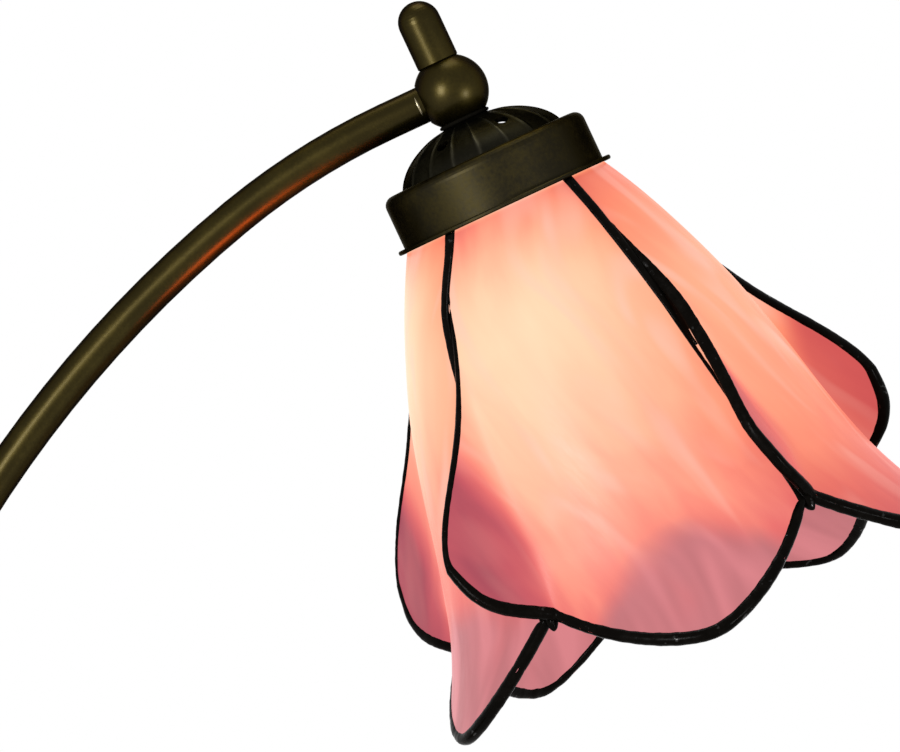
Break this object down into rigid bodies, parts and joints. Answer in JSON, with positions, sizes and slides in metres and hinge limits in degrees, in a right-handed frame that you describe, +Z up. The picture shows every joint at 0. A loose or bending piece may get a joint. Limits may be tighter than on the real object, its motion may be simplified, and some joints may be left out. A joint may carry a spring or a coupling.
{
  "type": "table lamp",
  "caption": "Arched desk lamp: round weighted base, curved tube arm, ball swivel with aiming handle, vented ribbed gallery and a leaded glass tulip shade of curled petals.",
  "frame": {"origin": "centre of the underside of the felt pad, on the table, on the axis of the upright foot of the arm", "axes": "+Z up, +X from the upright foot of the arm towards the ball and shade, +Y to the far side of the arm, away from the viewer of the picture"},
  "size_m": [0.3954, 0.16, 0.3618],
  "materials": {
    "bronze_paint": "satin dark bronze",
    "dome_paint": "matt black bronze",
    "iron": "rough cast",
    "steel": "zinc plated",
    "felt": "felt",
    "rubber": "matt",
    "brass": "satin",
    "lead_insulation": "satin",
    "phenolic": "semi-gloss",
    "porcelain": "glazed",
    "art_glass": "opalescent, smooth",
    "black_lead": "black patina, lumpy",
    "bulb_metal": "satin",
    "bulb_glass": "frosted white",
    "clear_glass": "clear",
    "filament": "dull"
  },
  "bodies": {
    "stand": {"base_cover": "bronze_paint", "base_weight": "iron", "base_plate": "steel", "plate_screws": "steel", "felt_pad": "felt", "cord_grommet": "rubber", "arm_collar": "bronze_paint", "foot_washer": "steel", "foot_nut": "brass", "arm_tube": "bronze_paint", "arm_lead": "lead_insulation", "swivel_spigot": "brass", "friction_washer": "steel", "switch_body": "phenolic", "switch_bushing": "brass", "switch_locknut": "brass", "switch_ring_nut": "brass", "switch_leads": "lead_insulation"},
    "knob": {"switch_shaft": "brass", "switch_knob": "bronze_paint", "knob_screw": "steel"},
    "head": {"swivel_ball": "bronze_paint", "aiming_handle": "bronze_paint", "handle_set_screw": "steel", "head_nipple": "brass", "dome_washer": "steel", "dome_locknut": "brass", "gallery_dome": "dome_paint", "fitter_band": "bronze_paint", "shade_collar": "bronze_paint", "petal_1": "art_glass", "petal_2": "art_glass", "petal_3": "art_glass", "petal_4": "art_glass", "petal_5": "art_glass", "lead_edge_1": "black_lead", "lead_edge_2": "black_lead", "lead_edge_3": "black_lead", "lead_edge_4": "black_lead", "lead_edge_5": "black_lead", "seam_solder": "black_lead", "notch_solder": "black_lead", "holder_cap": "phenolic", "holder_skirt": "phenolic", "holder_insulator": "porcelain", "holder_shell": "brass", "holder_contact": "brass", "holder_leads": "lead_insulation", "bulb_cap": "bulb_metal", "bulb_insulator": "phenolic", "bulb_contact": "bulb_metal", "bulb_glass": "bulb_glass", "bulb_stem": "clear_glass", "bulb_filament": "filament"}
  },
  "joints": [
    {"name": "head_swivel", "type": "hinge", "parent": "stand", "child": "head", "pos_m": [0.17704, 0, 0.33769], "axis": [0.9063, 0, 0.4226], "range_deg": [-90, 90]},
    {"name": "switch_turn", "type": "hinge", "parent": "stand", "child": "knob", "pos_m": [0, -0.05, 0.0406], "axis": [0, 0, 1], "continuous": true}
  ]
}
